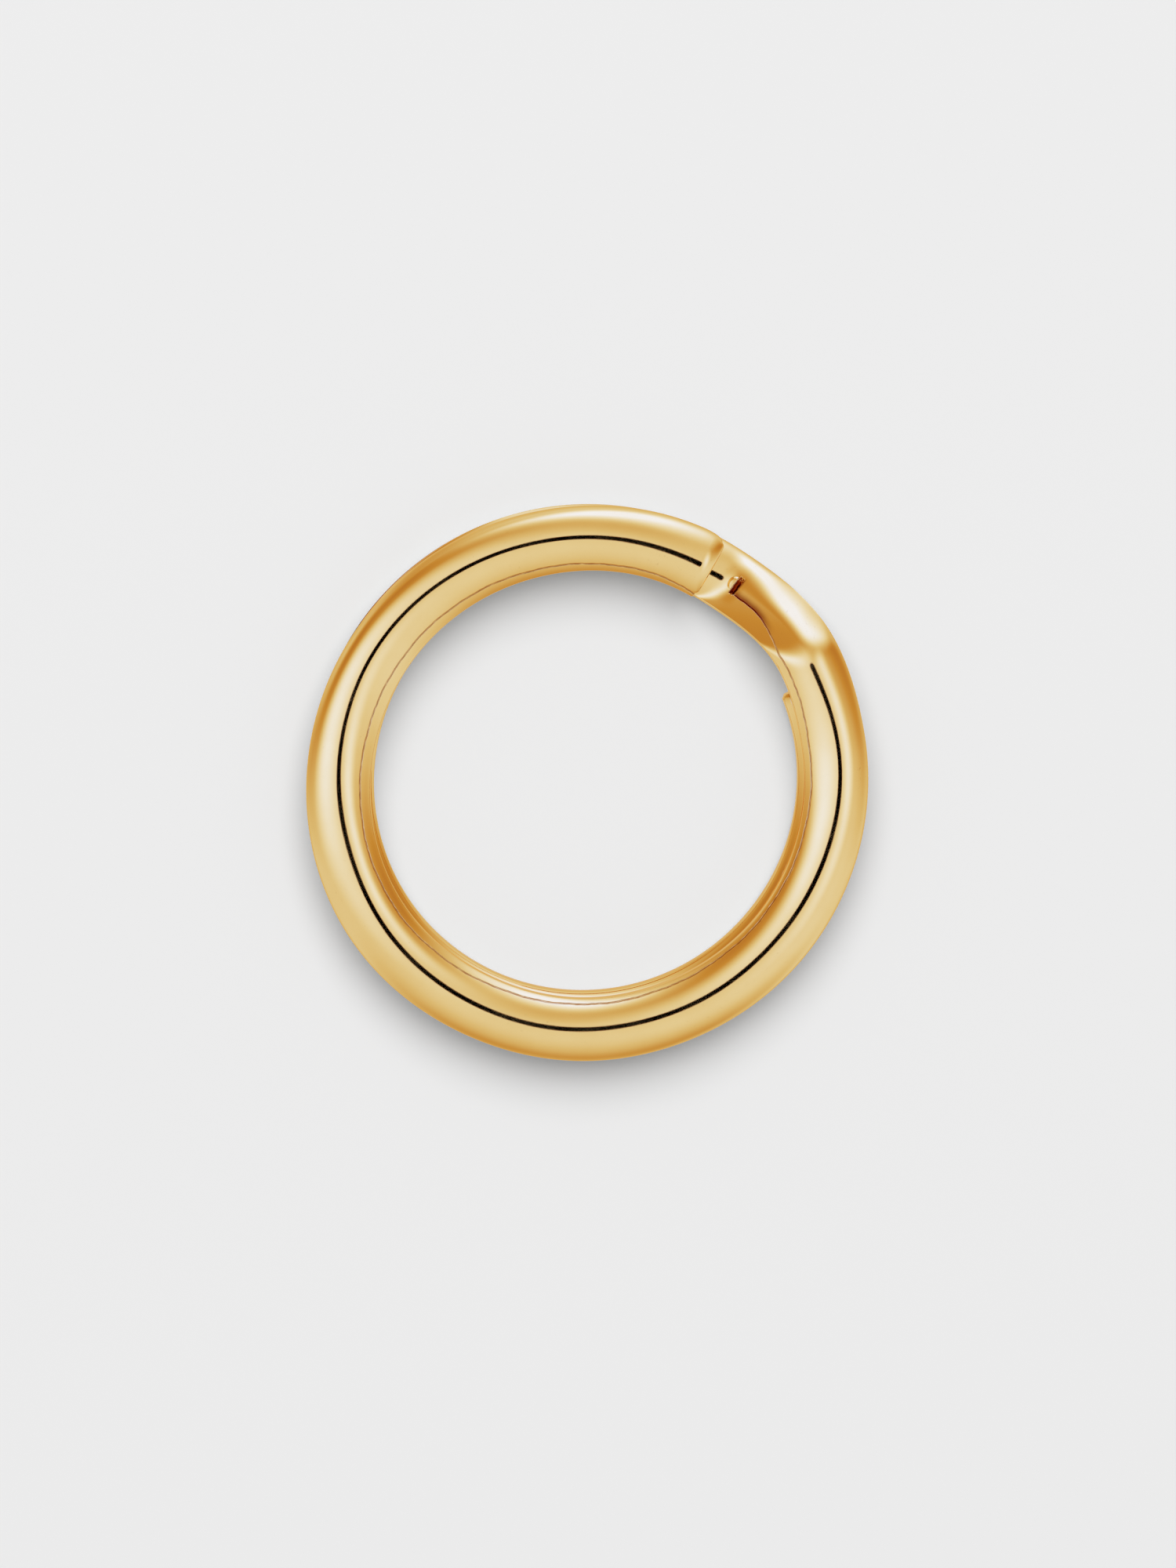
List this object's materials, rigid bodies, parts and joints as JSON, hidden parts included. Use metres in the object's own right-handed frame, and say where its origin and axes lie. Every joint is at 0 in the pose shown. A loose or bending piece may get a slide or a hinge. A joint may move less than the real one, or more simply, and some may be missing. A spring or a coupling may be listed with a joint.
{
  "type": "split key ring",
  "caption": "Split key ring of domed spring wire: two flat coils lie on each other, joined by a crossover bend; each free end springs open to take keys.",
  "frame": {"origin": "centre of the ring, in the plane where its two coils lie on each other", "axes": "+Z along the ring's axis, towards the coil whose free end faces up; +X and +Y lie in the ring's plane, and the crossover bend is between them, at about 43 degrees from +X"},
  "size_m": [0.03, 0.03, 0.0032],
  "materials": {
    "gold_plated_wire": "polished gold plating"
  },
  "bodies": {
    "wire_root": {"crossover_bend": "gold_plated_wire", "upper_coil_root": "gold_plated_wire", "lower_coil_root": "gold_plated_wire"},
    "upper_stretch_4_body": {"upper_flexing_stretch_4": "gold_plated_wire"},
    "upper_stretch_3_body": {"upper_flexing_stretch_3": "gold_plated_wire"},
    "upper_stretch_2_body": {"upper_flexing_stretch_2": "gold_plated_wire"},
    "upper_stretch_1_body": {"upper_flexing_stretch_1": "gold_plated_wire"},
    "upper_end_body": {"upper_free_end": "gold_plated_wire"},
    "lower_stretch_4_body": {"lower_flexing_stretch_4": "gold_plated_wire"},
    "lower_stretch_3_body": {"lower_flexing_stretch_3": "gold_plated_wire"},
    "lower_stretch_2_body": {"lower_flexing_stretch_2": "gold_plated_wire"},
    "lower_stretch_1_body": {"lower_flexing_stretch_1": "gold_plated_wire"},
    "lower_end_body": {"lower_free_end": "gold_plated_wire"}
  },
  "joints": [
    {"name": "upper_wire_flex_150", "type": "hinge", "parent": "wire_root", "child": "upper_stretch_4_body", "pos_m": [-0.01137, -0.00678, 0.00162], "axis": [0.859, 0.512, 0], "range_deg": [0, 1.8]},
    {"name": "upper_wire_flex_120", "type": "hinge", "parent": "upper_stretch_4_body", "child": "upper_stretch_3_body", "pos_m": [-0.01324, -0.00018, 0.00162], "axis": [0.9999, 0.014, 0], "range_deg": [0, 3.12]},
    {"name": "upper_end_opens", "type": "hinge", "parent": "upper_stretch_3_body", "child": "upper_stretch_2_body", "pos_m": [-0.01156, 0.00646, 0.00162], "axis": [0.8729, -0.4879, 0], "range_deg": [0, 3.6], "stiffness_Nm_per_rad": 18},
    {"name": "upper_wire_flex_60", "type": "hinge", "parent": "upper_stretch_2_body", "child": "upper_stretch_1_body", "pos_m": [-0.00678, 0.01137, 0.00162], "axis": [0.512, -0.859, 0], "range_deg": [0, 3.12]},
    {"name": "upper_wire_flex_30", "type": "hinge", "parent": "upper_stretch_1_body", "child": "upper_end_body", "pos_m": [-0.00018, 0.01324, 0.00162], "axis": [0.014, -0.9999, 0], "range_deg": [0, 1.8]},
    {"name": "lower_wire_flex_150", "type": "hinge", "parent": "wire_root", "child": "lower_stretch_4_body", "pos_m": [-0.00759, -0.0106, -0.00162], "axis": [0.5821, 0.8131, 0], "range_deg": [0, 1.8]},
    {"name": "lower_wire_flex_120", "type": "hinge", "parent": "lower_stretch_4_body", "child": "lower_stretch_3_body", "pos_m": [-0.00127, -0.01298, -0.00162], "axis": [0.0976, 0.9952, 0], "range_deg": [0, 3.12]},
    {"name": "lower_end_opens", "type": "hinge", "parent": "lower_stretch_3_body", "child": "lower_stretch_2_body", "pos_m": [0.00539, -0.01188, -0.00162], "axis": [-0.4131, 0.9107, 0], "range_deg": [0, 3.6], "stiffness_Nm_per_rad": 18},
    {"name": "lower_wire_flex_60", "type": "hinge", "parent": "lower_stretch_2_body", "child": "lower_stretch_1_body", "pos_m": [0.0106, -0.00759, -0.00162], "axis": [-0.8131, 0.5821, 0], "range_deg": [0, 3.12]},
    {"name": "lower_wire_flex_30", "type": "hinge", "parent": "lower_stretch_1_body", "child": "lower_end_body", "pos_m": [0.01298, -0.00127, -0.00162], "axis": [-0.9952, 0.0976, 0], "range_deg": [0, 1.8]}
  ],
  "couplings": [
    {"joint": "upper_wire_flex_150", "follows": "upper_end_opens", "ratio": 0.5},
    {"joint": "upper_wire_flex_120", "follows": "upper_end_opens", "ratio": 0.86603},
    {"joint": "upper_wire_flex_60", "follows": "upper_end_opens", "ratio": 0.86603},
    {"joint": "upper_wire_flex_30", "follows": "upper_end_opens", "ratio": 0.5},
    {"joint": "lower_wire_flex_150", "follows": "lower_end_opens", "ratio": 0.5},
    {"joint": "lower_wire_flex_120", "follows": "lower_end_opens", "ratio": 0.86603},
    {"joint": "lower_wire_flex_60", "follows": "lower_end_opens", "ratio": 0.86603},
    {"joint": "lower_wire_flex_30", "follows": "lower_end_opens", "ratio": 0.5}
  ]
}
